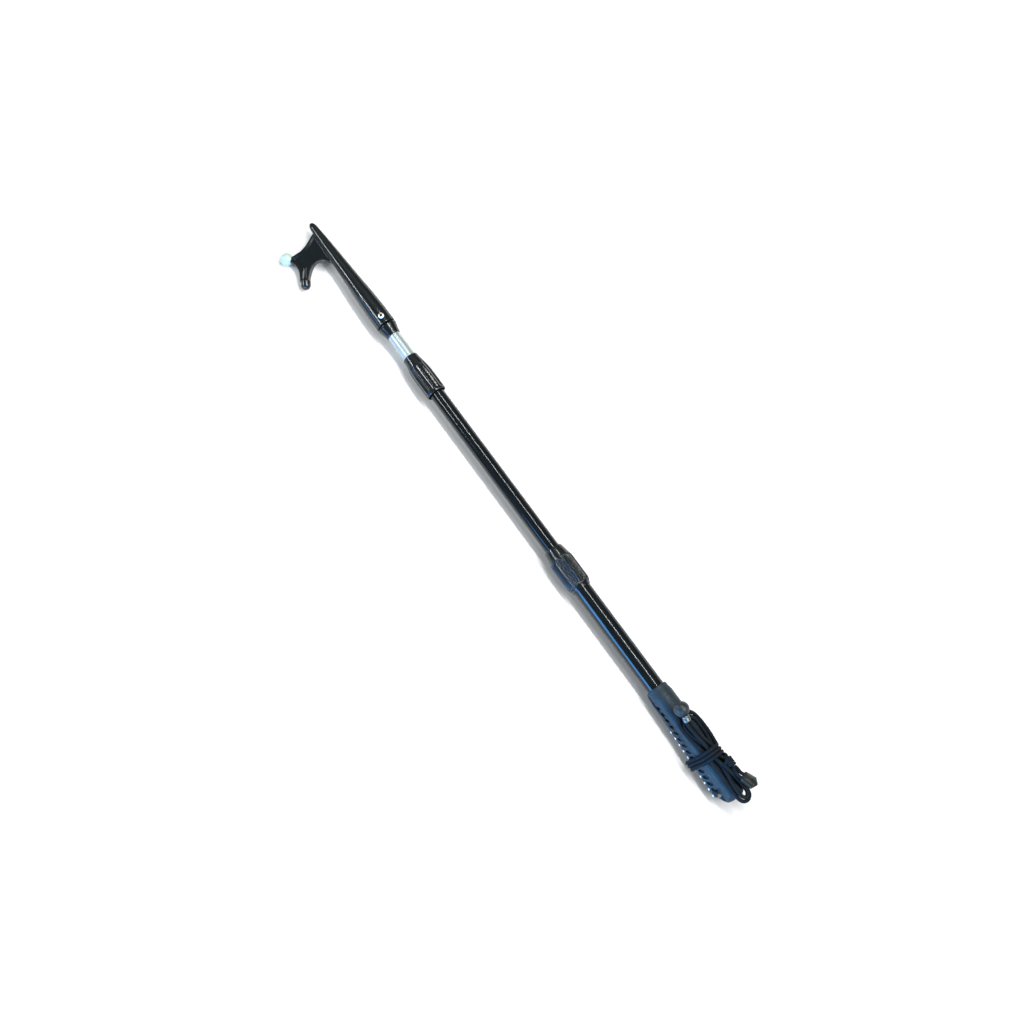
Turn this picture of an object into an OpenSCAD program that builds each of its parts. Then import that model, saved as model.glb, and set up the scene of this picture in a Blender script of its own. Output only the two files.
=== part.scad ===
// Telescopic boat hook with two twist-lock collars, a ball-ended hook head and a laced grip.
// The pole lies along X, head towards +X, hook towards +Y, resting on the plane z = 0.

/* [Lengths along the pole] */
// Hook head, from its base to its nose
head_length = 228; // [200:1:260]
// Cone that reduces the head to the inner tube
reducer_length = 23; // [20:1:30]
// Bare inner tube showing between the cone and the upper collar
inner_show = 48; // [46:1:80]
// Upper twist collar
upper_collar_length = 79; // [75:1:90]
// Middle tube showing between the two collars
middle_show = 328; // [320:1:345]
// Lower twist collar, with its flange
lower_collar_length = 80; // [78:1:90]
// Outer tube showing between the lower collar and the grip
outer_show = 197; // [190:1:240]
// Grip, from its rim to the butt
grip_length = 210; // [205:1:240]

/* [Tubes] */
// Outer radius of the inner tube
inner_r = 11; // [10.8:0.1:11.1]
// Wall of the inner tube
inner_wall = 1.2; // [1:0.1:1.4]
// Outer radius of the middle tube
middle_r = 12.7; // [12.6:0.1:12.8]
// Wall of the middle tube
middle_wall = 1.0; // [0.9:0.1:1.1]
// Outer radius of the outer tube
outer_r = 15; // [14.9:0.1:15.1]
// Wall of the outer tube
outer_wall = 1.5; // [1.4:0.1:1.6]
// Length of the inner tube
inner_tube_length = 575; // [560:1:578]
// Length of the middle tube
middle_tube_length = 510; // [500:1:512]

/* [Collars] */
// Largest radius of the upper collar
upper_nut_r = 18; // [17.8:0.1:19]
// Largest radius of the lower collar
lower_nut_r = 20.15; // [20:0.05:21]
// Number of broad flutes round the upper collar
upper_flutes = 12; // [8:1:16]
// Number of fine grooves round the lower collar
lower_grooves = 30; // [24:1:34]
// Height of a thread ridge
ridge_h = 0.7; // [0.6:0.1:0.8]

/* [Hook head] */
// Radius of the head at its base
head_r = 17.4; // [17:0.1:18]
// Thickness of the rims round the hook's web
rim_t = 11.4; // [9:0.1:13]
// Thickness of the recessed web between the rims
web_t = 4.8; // [4:0.1:6]
// Radius of the bulb on the end of the hook
bulb_r = 8.6; // [8:0.1:9.5]
// Radius of the ball on the spur
ball_r = 11.2; // [11:0.1:12.5]

/* [Grip] */
// Radius of the grip sleeve
grip_r = 20; // [19.6:0.1:20.5]
// Half thickness of the laced seam flange
flange_half = 2.2; // [2:0.1:2.6]
// Number of holes along the seam, the hanging hole included
seam_holes = 15; // [13:1:15]
// Distance from hole to hole
hole_pitch = 11.6; // [11.4:0.1:11.7]
// Radius of the hanging hole
hang_hole_r = 3; // [2.6:0.1:3.4]

/* [Lanyard] */
// Diameter of the braided cord
cord_d = 6; // [5.5:0.1:6.2]
// Radius of the bead on the lanyard
bead_r = 12.5; // [12:0.1:13]

/* [Hidden] */
$fn = 64;
gap = 0.3;    // between pieces that move past each other
run = 0.05;   // running fit
touch = 0.02; // between pieces of one body
ball_u = 206; // the ball's centre: distance from the head's base
ball_q = 69.4; // and from the pole's axis
middle_ri = middle_r - middle_wall;
outer_ri = outer_r - outer_wall;
inner_ri = inner_r - inner_wall;

// Places along the pole, measured from its middle
total_length = head_length + reducer_length + inner_show + upper_collar_length + middle_show
    + lower_collar_length + outer_show + grip_length;
x_butt = -total_length / 2;
x_rim = x_butt + grip_length;
x_lower = x_rim + outer_show;
x_lower_nut = x_lower + 5.3;
x_upper = x_lower + lower_collar_length + middle_show;
x_cone = x_upper + upper_collar_length + inner_show;
x_head = x_cone + reducer_length;
x_nose = x_head + head_length;
x_middle_mouth = x_upper + 48;
x_middle_end = x_middle_mouth - middle_tube_length;
x_outer_mouth = x_lower_nut + 44.5;
x_outer_end = x_butt + 7;
x_inner_mouth = x_head + 40;
x_inner_end = x_inner_mouth - inner_tube_length;

// The cord round the grip touches the surface at one end, and the ball at the other
axis_z = grip_r + gap + cord_d;
roll = asin((axis_z - ball_r) / ball_q);
axis_y = -(ball_q * cos(roll) + ball_r - lower_nut_r) / 2;

// ---------- helpers ----------

// Puts a piece drawn round the X axis, hook side towards -Y, in its place above the surface, hook side
// towards +Y
module placed() translate([0, axis_y, axis_z]) mirror([0, 1, 0]) children();

// Stands a shape drawn along +Z on the pole's axis at x, pointing to the head
module along(x) placed() translate([x, 0, 0]) rotate([0, 90, 0]) children();

// Solid of revolution along the pole, from a list of [radius, distance]
module turned(x, profile) along(x) rotate_extrude() polygon(profile);

// Plain sleeve along the pole
module sleeve(x, length, r_out, r_in)
    turned(x, [[r_in, 0], [r_out, 0], [r_out, length], [r_in, length]]);

// The hook's plane: first axis along the pole from the head's base, second axis out to the hook
module hook_plane(x = x_head) placed() translate([x, 0, 0]) rotate([180 + roll, 0, 0]) children();

// Smooth curve through points
function catmull(a, b, c, d, t) =
    0.5 * (2 * b + (c - a) * t + (2 * a - 5 * b + 4 * c - d) * t * t
    + (3 * b - 3 * c + d - a) * t * t * t);
function smooth(p, n) = let (last = len(p) - 1) concat(
    [for (i = [0 : last - 1]) for (k = [0 : n - 1])
        catmull(p[max(i - 1, 0)], p[i], p[i + 1], p[min(i + 2, last)], k / n)],
    [p[last]]);

// Unit normals, and a flat curve moved sideways
function unit(v) = v / norm(v);
function flat_normal(p, i) =
    let (v = unit(p[min(i + 1, len(p) - 1)] - p[max(i - 1, 0)])) [-v[1], v[0]];
function beside(p, w) = [for (i = [0 : len(p) - 1]) p[i] + w * flat_normal(p, i)];
function reversed(p) = [for (i = [len(p) - 1 : -1 : 0]) p[i]];

// Round tube swept along a route in space
function side_of(v) = let (c = cross(v, [0, 0, 1])) norm(c) < 0.01 ? [1, 0, 0] : unit(c);
function ring_at(p, i, r, sides) =
    let (v = unit(p[min(i + 1, len(p) - 1)] - p[max(i - 1, 0)]),
         a = side_of(v),
         b = cross(v, a))
    [for (k = [0 : sides - 1]) p[i] + r * (a * cos(360 * k / sides) + b * sin(360 * k / sides))];
module swept(p, d, sides = 8) {
    n = len(p);
    points = [for (i = [0 : n - 1]) each ring_at(p, i, d / 2, sides)];
    walls = [for (i = [0 : n - 2]) for (k = [0 : sides - 1])
        [i * sides + k, i * sides + (k + 1) % sides,
         (i + 1) * sides + (k + 1) % sides, (i + 1) * sides + k]];
    near_end = [for (k = [sides - 1 : -1 : 0]) k];
    far_end = [for (k = [0 : sides - 1]) (n - 1) * sides + k];
    polyhedron(points, concat(walls, [near_end, far_end]));
}

// ---------- outer section and grip ----------

module outer_tube()
    color("#1d2226") sleeve(x_outer_end, x_outer_mouth - x_outer_end, outer_r, outer_ri);

module butt_plug()
    color("#2a2d30") turned(x_outer_end, [
        [0, -2.2], [outer_r - 0.5, -2.2], [outer_r - 0.5, -touch], [outer_ri - touch, -touch],
        [outer_ri - touch, 10], [0, 10]
    ]);

seam_plane_x = x_rim;
first_hole = -29;
function hole_u(i) = first_hole - hole_pitch * i;
function hole_q(i) = 17.5 + 0.17 * i;
function edge_q(u) = grip_r + 0.3 + 8.6 * pow(min(max(-u - 20, 0) / 170, 1), 1.15);
hang_index = seam_holes - 1;
wrap_index = 9;
hang_q = 20.6;

// Cross-section of the sleeve: round, pinched to a flat flange on the seam side
function pinch(a) = let (t = min(max((a - 8) / 55, 0), 1))
    outer_r + 1.2 + (grip_r - outer_r - 1.2) * t * t * (3 - 2 * t);
sleeve_side = [for (a = [8 : 6 : 176]) [pinch(a) * cos(a), max(pinch(a) * sin(a), flange_half)]];
sleeve_section = concat(
    [[32, flange_half]], sleeve_side, [[-grip_r, 0]],
    reversed([for (p = sleeve_side) [p[0], -p[1]]]), [[32, -flange_half]]);

// Outline of the sleeve seen square to the seam
seam_edge = [for (u = [-8 : -14 : -190]) [u, edge_q(u)]];
butt_curve = [for (a = [0 : 15 : 90]) [-190 - 20 * sin(a), 6 + (edge_q(-190) - 6) * cos(a)]];
sleeve_outline = concat(
    [[0, outer_r + 2.4]], seam_edge, butt_curve,
    [for (a = [90 : -15 : 0]) [-190 - 20 * sin(a), -(6 + (grip_r - 6) * cos(a))]],
    [[-16, -grip_r], [-8, -(grip_r - 0.6)], [0, -(outer_r + 2.4)]]);

module grip_sleeve() color("#26435c") {
    difference() {
        intersection() {
            hook_plane(seam_plane_x) rotate([90, 0, 90]) translate([0, 0, -grip_length - 5])
                linear_extrude(grip_length + 5) polygon(sleeve_section);
            hook_plane(seam_plane_x) translate([0, 0, -30])
                linear_extrude(60) polygon(sleeve_outline);
            turned(x_butt, [
                [0, 0], [10, 0], [16, 2.2], [20, 8], [24, 18], [40, 30], [40, grip_length - 22],
                [grip_r + 0.3, grip_length - 17], [outer_r + 2.4, grip_length], [0, grip_length]
            ]);
        }
        sleeve_bore();
        for (i = [0 : seam_holes - 2]) seam_hole(i, hole_q(i), 1.5 + 0.05 * i);
        seam_hole(hang_index, hang_q, hang_hole_r);
    }
}

module sleeve_bore() {
    along(x_outer_end - 2.2 - touch) cylinder(h = 3 + touch, r = outer_r - 0.4);
    along(x_outer_end - touch) cylinder(h = grip_length, r = outer_r + touch);
}

module seam_hole(i, q, r)
    hook_plane(seam_plane_x) translate([hole_u(i), q, -8]) cylinder(h = 16, r = r);

// One loop of lacing goes through each hole and over the edge of the flange
module grip_lacing() color("#8fa9b8")
    for (i = [0 : seam_holes - 2]) if (i != wrap_index) {
        reach = (edge_q(hole_u(i)) - hole_q(i)) / 2 + 1.1;
        hook_plane(seam_plane_x) translate([hole_u(i), hole_q(i) + reach, 0]) rotate([90, 0, 90])
            rotate_extrude($fn = 32) translate([reach, 0]) circle(r = 0.75, $fn = 16);
    }

// ---------- twist collars ----------

// Thread ridges, measured from the nut's lower end
ridge_places = [14, 22, 30, 38];
ridge_w = 1.6;

// Bore of a nut: grooves that clear the ridges, a seat that squeezes the collet, and a neck
function nut_bore(ferrule_r, seat_z, seat_r, neck_z, neck_seat_r, tube_r, length) = concat(
    [[ferrule_r + ridge_h + gap + 0.9, 0], [ferrule_r + ridge_h + gap, 3],
     [ferrule_r + ridge_h + gap, 10], [ferrule_r + gap, 11]],
    [for (z = ridge_places) each [
        [ferrule_r + gap, z - gap], [ferrule_r + ridge_h + gap, z + 0.3 - gap],
        [ferrule_r + ridge_h + gap, z + ridge_w - 0.3 + gap], [ferrule_r + gap, z + ridge_w + gap]]],
    [[ferrule_r + gap, seat_z], [seat_r + gap, seat_z], [neck_seat_r + gap, neck_z],
     [tube_r + 0.35, neck_z], [tube_r + 0.35, length]]);

// Sleeve fixed on a tube's mouth, with thread ridges outside and a lip over the tube's end
module ferrule(x, base_z, tube_r, ferrule_r, mouth_z, lip_r, flange) turned(x, concat(
    [[tube_r + touch, base_z]],
    flange,
    [[ferrule_r, base_z + (len(flange) > 0 ? 5 : 0)]],
    [for (z = ridge_places) each [
        [ferrule_r, z], [ferrule_r + ridge_h, z + 0.3],
        [ferrule_r + ridge_h, z + ridge_w - 0.3], [ferrule_r, z + ridge_w]]],
    [[ferrule_r, mouth_z + 2.4], [lip_r, mouth_z + 2.4], [lip_r, mouth_z + touch],
     [tube_r + touch, mouth_z + touch]]));

// Split ring, tapered outside, with one slit right through and a slot part of the way opposite
module collet(x, z0, z1, bore_r, r0, r1) difference() {
    turned(x, [[bore_r, z0], [r0, z0], [r1, z1], [bore_r, z1]]);
    placed() translate([x + z0 - 1, -1, 0]) cube([z1 - z0 + 2, 2, r0 + 2]);
    placed() translate([x + z0 + 5, -0.8, -r0 - 2]) cube([z1 - z0, 1.6, r0 + 2]);
    placed() translate([x + z0 + 5, 0, -0.8]) cube([z1 - z0, r0 + 2, 1.6]);
    placed() translate([x + z0 + 5, -r0 - 2, -0.8]) cube([z1 - z0, r0 + 2, 1.6]);
}

lower_ferrule_r = outer_r + 1.8;
lower_nut_length = lower_collar_length - 5.3;

module lower_ferrule() color("#16191b")
    ferrule(x_lower_nut, -5.3, outer_r, lower_ferrule_r, 44.5, middle_r + gap,
        [[17.0, -5.3], [17.3, -4.7], [17.3, -0.8], [16.9, -0.3]]);

module lower_collet() color("#d8d4c8")
    collet(x_lower_nut, 47.2, 64, middle_r + gap, 16.4, 14.5);

module lower_collar_nut() color("#1a1d1f") difference() {
    turned(x_lower_nut, concat(
        nut_bore(lower_ferrule_r, 47, 16.4, 64.5, 14.5, middle_r, lower_nut_length),
        [[15.0, lower_nut_length], [15.6, lower_nut_length - 0.8],
         [17.3, lower_nut_length - 8.6], [18.6, lower_nut_length - 17],
         [lower_nut_r - 0.5, 54], [lower_nut_r, 47], [lower_nut_r, 12], [lower_nut_r - 0.3, 4],
         [lower_nut_r - 0.5, 1.4], [lower_nut_r - 1, 0.4], [lower_nut_r - 1.7, 0]]));
    for (k = [0 : lower_grooves - 1])
        placed() rotate([360 * k / lower_grooves, 0, 0])
            translate([x_lower_nut + 3, 0, lower_nut_r + 0.85]) rotate([0, 90, 0])
                cylinder(h = 51, r = 1.3, $fn = 16);
}

upper_ferrule_r = middle_r + 1.8;

module upper_ferrule() color("#16191b")
    ferrule(x_upper, 5, middle_r, upper_ferrule_r, 48, inner_r + gap, []);

module upper_collet() color("#d8d4c8")
    collet(x_upper, 50.7, 67, inner_r + gap, 14, 12.4);

module upper_collar_nut() color("#1a1d1f") difference() {
    turned(x_upper, concat(
        nut_bore(upper_ferrule_r, 50.5, 14, 67.5, 12.4, inner_r, upper_collar_length),
        [[12.9, upper_collar_length], [13.4, upper_collar_length - 0.8], [13.9, 73], [15.1, 65],
         [16.4, 57], [17.5, 48], [upper_nut_r - 0.05, 38], [upper_nut_r, 30],
         [upper_nut_r - 0.05, 12], [upper_nut_r - 0.3, 3.5], [upper_nut_r - 0.9, 1],
         [upper_nut_r - 1.9, 0]]));
    for (k = [0 : upper_flutes - 1])
        placed() rotate([360 * (k + 0.5) / upper_flutes, 0, 0])
            translate([x_upper + 5, 0, upper_nut_r + 7.25]) rotate([0, 90, 0])
                cylinder(h = 49, r = 7.8, $fn = 48);
}

// ---------- middle and inner sections ----------

neck_length = 12;

// Plug in a tube's lower end, with a neck and a head that hold the guide ring
module end_plug(x, bore_r, neck_r, head_r2) turned(x, [
    [0, -neck_length - 3], [head_r2 - 0.5, -neck_length - 3], [head_r2, -neck_length - 2.5],
    [head_r2, -neck_length], [neck_r, -neck_length], [neck_r, -touch], [bore_r - touch, -touch],
    [bore_r - touch, 12], [0, 12]
]);

module guide_ring(x, neck_r, bore_r)
    sleeve(x - neck_length + gap, neck_length - 2 * gap, bore_r - run, neck_r + run);

module middle_tube() color("#1d2226")
    sleeve(x_middle_end, middle_tube_length, middle_r, middle_ri);

module middle_plug() color("#303437") end_plug(x_middle_end, middle_ri, 9.5, 11.5);

module middle_guide_ring() color("#e4e1d6") guide_ring(x_middle_end, 9.5, outer_ri);

module inner_tube() color("#dfe6e8") difference() {
    sleeve(x_inner_end, inner_tube_length, inner_r, inner_ri);
    rivet_hole();
}

module inner_plug() color("#303437") end_plug(x_inner_end, inner_ri, 8, 9.6);

module inner_guide_ring() color("#e4e1d6") guide_ring(x_inner_end, 8, middle_ri);

module inner_float() color("#f0efe9")
    along(x_inner_end + 14) cylinder(h = inner_tube_length - 48, r = inner_ri - 0.1);

// ---------- head ----------

socket_r = 13.2;
socket_depth = 48;
rivet_u = 13;
rivet_r = 2.4;
seat_depth = 0.7;

module head_reducer() color("#181b1d") difference() {
    turned(x_head, [
        [inner_r + touch, -reducer_length], [inner_r + 0.9, -reducer_length],
        [inner_r + 1.6, -reducer_length + 0.8], [head_r - 0.6, -4.5], [head_r - 0.2, -3],
        [head_r - 0.2, -1.6], [head_r - 1.6, -1.2], [head_r - 1.6, -touch],
        [socket_r - touch, -touch], [socket_r - touch, 46], [9, 46], [9, 40 + touch],
        [inner_r + touch, 40 + touch]
    ]);
    rivet_hole();
}

module rivet_hole() placed() translate([x_head + rivet_u, 0, -30]) cylinder(h = 60, r = rivet_r + touch);

// Shallow flats that the rivets' heads seat on
module rivet_seats() for (side = [0, 180]) placed() rotate([side, 0, 0])
    translate([x_head + rivet_u, 0, head_r - seat_depth - touch]) cylinder(h = 6, r = 5.2);

// Two blind rivets, one each side, through the head, the reducer and the tube
module head_rivets() color("#dde3e2") for (side = [0, 180])
    placed() translate([x_head + rivet_u, 0, 0]) rotate([side, 0, 0]) {
        translate([0, 0, inner_ri - 1.5]) cylinder(h = head_r - inner_ri + 1.5 - seat_depth, r = rivet_r);
        difference() {
            translate([0, 0, head_r - seat_depth]) rotate_extrude()
                polygon([[0, 0], [4.9, 0], [4.9, 0.9], [4.2, 1.7], [3, 2.2], [1.2, 2.4], [0, 2.4]]);
            translate([0, 0, head_r + 0.4]) cylinder(h = 3, r = 1.3);
        }
    }

// The hook's edges, as [distance from the head's base, distance from the axis]
front_edge = smooth([[213, 2], [208.5, 14], [203.5, 26], [200.3, 39.6], [201, 52], [201.8, 60.5]], 5);
spur_edge = [[201.8, 60.5], [201.2, 64.4], [199, 66.9], [196, 67.6]];
outer_edge = smooth([[196, 67.6], [190.5, 64.9], [182, 63.3], [173.5, 64.6], [164.5, 68.6],
    [156.5, 74]], 4);
throat_edge = smooth([[149, 60.5], [155.5, 53.8], [161.8, 46], [166.3, 37], [166.6, 29],
    [163, 21.5], [156, 15.3], [146, 9.5]], 4);
plate_outline = concat(front_edge, spur_edge, outer_edge, throat_edge, [[146, 0], [213, 0]]);

// The recess in each face of the plate leaves a rim along its edges
function part_of(p, first, last) = [for (i = [first : last]) p[i]];
recess_outline = concat(
    beside(part_of(front_edge, 1, 23), 4.2), beside(part_of(outer_edge, 4, 13), 4.6),
    beside(part_of(throat_edge, 8, 27), 5), [[150, 0], [207, 0]]);
arm_start = [171, 52.5];
arm_end = [147, 69.4];
arm_length = norm(arm_end - arm_start);
arm_profile = concat(
    [[0, 0], [6.6, 0], [6.6, arm_length - 8.5], [bulb_r - 0.4, arm_length - 7.6],
     [bulb_r, arm_length - 6.8]],
    [for (a = [0 : 15 : 90]) [bulb_r * cos(a), arm_length + bulb_r * sin(a)]]);

module slab(t, outline) translate([0, 0, -t / 2]) linear_extrude(t) polygon(outline);

// Stands a shape drawn along +Z at a, pointing to b, in the hook's plane
module towards(a, b) translate([a[0], a[1], 0])
    rotate([0, 90, atan2(b[1] - a[1], b[0] - a[0])]) children();
module rod(a, b, r) towards(a, b) cylinder(h = norm(b - a), r = r);

shaft_profile = [
    [0, 0], [head_r - 0.5, 0], [head_r, 0.6], [head_r, 30], [15.9, 66], [13.5, 103],
    [12.2, 130], [10.8, 157], [8.9, 194], [6.9, 219], [5.8, 223.5], [3.6, 226.8], [0, head_length]
];

module hook_head() color("#1b1f21") difference() {
    union() {
        turned(x_head, shaft_profile);
        hook_plane() difference() {
            slab(rim_t, plate_outline);
            for (side = [-1, 1]) translate([0, 0, side * (web_t + rim_t) / 2]) slab(rim_t, recess_outline);
        }
        hook_plane() towards(arm_start, arm_end) rotate_extrude() polygon(arm_profile);
    }
    along(x_head - 1) cylinder(h = socket_depth + 1, r = socket_r);
    rivet_hole();
    rivet_seats();
    hook_plane() rod([ball_u, ball_q], stud_root, stud_r);
}

// A threaded stud runs from the spur into the ball
stud_root = [190, 62.4];
stud_tip = [211, 71.6];
stud_r = 1.8;
module ball_stud() color("#b8bcbc") hook_plane() rod(stud_root, stud_tip, stud_r - touch);

module ball_tip() color("#e9f3ee") difference() {
    hook_plane() translate([ball_u, ball_q, 0]) sphere(r = ball_r);
    hook_plane() slab(rim_t + 0.1, concat([[201.9, 50]], [[201.9, 60.5], [201.3, 64.5], [199.1, 67],
        [196, 67.75], [185, 67.75], [185, 50]]));
    hook_plane() rod(stud_root, stud_tip, stud_r);
}

// ---------- lanyard ----------

hank_tilt = 20;   // the hank lies against the grip, this far round from its top
hank_v = 1;       // the middle of the hank, across
hank_w = 34;
hank_from = -444;
hank_to = -611;
wrap_from = -530.6;
wrap_w = 18;
layer = grip_r + gap;         // underside of the hank
layer_2 = layer + cord_d + gap; // underside of what lies on it

// Frame on the grip's skin: x along the pole, y across, z outwards
module on_grip() placed() rotate([-hank_tilt, 0, 0]) children();

module hank_plan(w, from, to) {
    translate([(from + to) / 2, 0]) square([from - to - w, w], center = true);
    translate([from - w / 2, 0]) circle(d = w);
    translate([to + w / 2, 0]) circle(d = w);
}

module lanyard_hank() color("#2a4a68") on_grip() translate([0, hank_v, layer])
    linear_extrude(cord_d) hank_plan(hank_w, hank_from, hank_to);

// Section across the pole of all that the wrap goes round, rounded out by r
module bundle(r) hull() {
    circle(r = grip_r + r);
    rotate(180 + roll) translate([edge_q(-134), 0]) circle(r = flange_half + r, $fn = 32);
    rotate(-hank_tilt) for (v = [-1, 1], n = [0, cord_d])
        translate([hank_v + v * hank_w / 2, layer + n]) circle(r = r, $fn = 32);
    rotate(-hank_tilt) for (v = [-3.2, 3.2]) translate([legs_v + v, layer_2 + 3])
        circle(r = cord_d / 2 + r, $fn = 32);
}

module lanyard_wrap() color("#24405a") placed() translate([wrap_from, 0, 0])
    rotate([90, 0, 90]) linear_extrude(wrap_w) difference() {
        bundle(gap + cord_d - touch);
        bundle(gap);
    }

bead_x = -438.5;
bead_tilt = 20; // the bead's bore slopes down to the hank
legs_v = -8;
bead_n = layer_2 + bead_r;
leg_to = wrap_from + wrap_w + gap;
leg_route = [[-459.6, layer_2 + 4.6], [-465, layer_2 + 3.4], [-472, layer_2 + 3.1],
    [-485, layer_2 + 3.1], [-498, layer_2 + 3.1], [leg_to, layer_2 + 3.1]];

// Stands a shape drawn along +Z on the bead's centre, pointing down its bore to the wrap
module on_bead() on_grip() translate([bead_x, legs_v, bead_n]) rotate([0, -90 - bead_tilt, 0])
    children();

module lanyard_bead() color("#4a6070") on_bead() rotate_extrude() difference() {
    circle(r = bead_r);
    translate([-bead_r - 1, -bead_r - 1]) square([bead_r + 1 + 3.6, 2 * bead_r + 2]);
}

module lanyard_bead_collar() color("#9aa4a6") on_bead() translate([0, 0, bead_r - 0.4])
    rotate_extrude() polygon([[3.8, 0], [5.2, 0], [5.6, 1], [5.6, 9], [5.2, 10], [3.8, 10]]);

module lanyard_legs() color("#2a4a68") on_grip() for (v = [-3.1, 3.1])
    swept([for (p = leg_route) [p[0], legs_v + v, p[1]]], cord_d);

knot_v = 8;
knot_n = layer_2 + 7;
module lanyard_knot() color("#24405a") on_grip() translate([-552, knot_v, knot_n]) rotate([0, 90, 0]) {
    cylinder(h = 14, r = 7);
    sphere(r = 7);
    translate([0, 0, 14]) sphere(r = 7);
}

// Two short ends run from the knot to the tab
tail_a = [[-560.8, 6, 33.5], [-564, 4.8, 34.6], [-567.5, 4, 35.6], [-571, 4, 36.3], [-574.6, 5.5, 36.7]];
tail_b = [[-560.6, 12.6, 33.5], [-564, 12, 34.7], [-567.2, 12, 35.7], [-569.4, 12.6, 36.2], [-571.6, 13.5, 36.6]];
module lanyard_tails() color("#24405a") on_grip() {
    swept(tail_a, cord_d - 0.4);
    swept(tail_b, cord_d - 0.4);
}

tab_outline = [[0, -7.5], [2, -9.2], [19, -10.5], [25, -7], [26.6, -1], [24, 7], [19, 9.8], [2, 8.4], [0, 7.2]];
module lanyard_tab() color("#5a6468") on_grip() translate([-572.5, 8.5, 37])
    rotate([0, 0, 157]) rotate([0, 4, 0]) translate([2.1, 0, -3.5]) linear_extrude(7) polygon(tab_outline);

outer_tube();
butt_plug();
grip_sleeve();
grip_lacing();
lower_ferrule();
lower_collet();
lower_collar_nut();
middle_guide_ring();
middle_plug();
middle_tube();
upper_ferrule();
upper_collet();
upper_collar_nut();
inner_guide_ring();
inner_plug();
inner_float();
inner_tube();
head_reducer();
head_rivets();
hook_head();
ball_stud();
ball_tip();
lanyard_hank();
lanyard_wrap();
lanyard_bead();
lanyard_bead_collar();
lanyard_legs();
lanyard_knot();
lanyard_tails();
lanyard_tab();
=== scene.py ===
"""Looks of the telescopic boat hook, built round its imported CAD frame."""
import math

import bmesh
import bpy
import numpy as np
from mathutils import Matrix, Vector


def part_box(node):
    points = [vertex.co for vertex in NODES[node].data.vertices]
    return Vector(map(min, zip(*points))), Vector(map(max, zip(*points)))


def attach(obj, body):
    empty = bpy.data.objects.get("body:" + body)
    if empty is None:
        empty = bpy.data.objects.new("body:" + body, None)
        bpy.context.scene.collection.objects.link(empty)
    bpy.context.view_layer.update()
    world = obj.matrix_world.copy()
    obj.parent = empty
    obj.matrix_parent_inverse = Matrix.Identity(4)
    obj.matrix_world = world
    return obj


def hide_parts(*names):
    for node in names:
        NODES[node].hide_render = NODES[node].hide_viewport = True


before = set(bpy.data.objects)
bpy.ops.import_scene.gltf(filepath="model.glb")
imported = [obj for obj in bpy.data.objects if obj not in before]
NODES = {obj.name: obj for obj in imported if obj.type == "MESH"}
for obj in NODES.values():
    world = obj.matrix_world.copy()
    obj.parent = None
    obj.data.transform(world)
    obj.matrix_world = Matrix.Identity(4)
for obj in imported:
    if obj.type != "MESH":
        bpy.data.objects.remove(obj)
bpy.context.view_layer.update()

MM = 0.001


# ---------- places ----------

def middle(node):
    low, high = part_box(node)
    return (low + high) / 2


AXIS = middle("outer_tube")            # a point on the pole's axis
AXIS_Y, AXIS_Z = AXIS.y / MM, AXIS.z / MM
HANK_TILT = math.radians(20)           # the hank lies this far round from the grip's top
ROLL = math.radians(12.567)            # the hook's plane leans this far down to the ball
GRIP_R = 20.0
CORD_D = 6.0
X_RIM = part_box("grip_sleeve")[1].x / MM
X_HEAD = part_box("hook_head")[0].x / MM


def on_grip(x, v, n):
    """Row-frame point in metres from the grip's own frame in mm: along, across, outwards."""
    c, s = math.cos(HANK_TILT), math.sin(HANK_TILT)
    return Vector((x, AXIS_Y - v * c - n * s, AXIS_Z - v * s + n * c)) * MM


def on_hook(u, q, w=0.0, x=None):
    """Row-frame point in metres from the hook's plane in mm: along, out to the hook, across."""
    c, s = math.cos(ROLL), math.sin(ROLL)
    return Vector(((X_HEAD if x is None else x) + u, AXIS_Y + q * c - w * s,
                   AXIS_Z - q * s - w * c)) * MM


# ---------- camera ----------

LENS, SENSOR = 52.73, 36.0
TARGET = Vector((-0.0144, -0.0164, 0))
AZIMUTH, ELEVATION = math.radians(144.45), math.radians(74.57)
DISTANCE = 2.470


def make_camera():
    """Looks at TARGET from DISTANCE metres, held level."""
    data = bpy.data.cameras.new("camera")
    data.lens, data.sensor_width = LENS, SENSOR
    data.clip_start, data.clip_end = 0.05, 50
    cam = bpy.data.objects.new("camera", data)
    bpy.context.scene.collection.objects.link(cam)
    right = Vector((-math.sin(AZIMUTH), math.cos(AZIMUTH), 0))
    back = Vector((math.cos(AZIMUTH) * math.cos(ELEVATION), math.sin(AZIMUTH) * math.cos(ELEVATION),
                   math.sin(ELEVATION)))
    turn = Matrix((right, back.cross(right), back)).transposed().to_4x4()
    cam.matrix_world = Matrix.Translation(TARGET + back * DISTANCE) @ turn
    bpy.context.scene.camera = cam


make_camera()


# ---------- materials ----------

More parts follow.
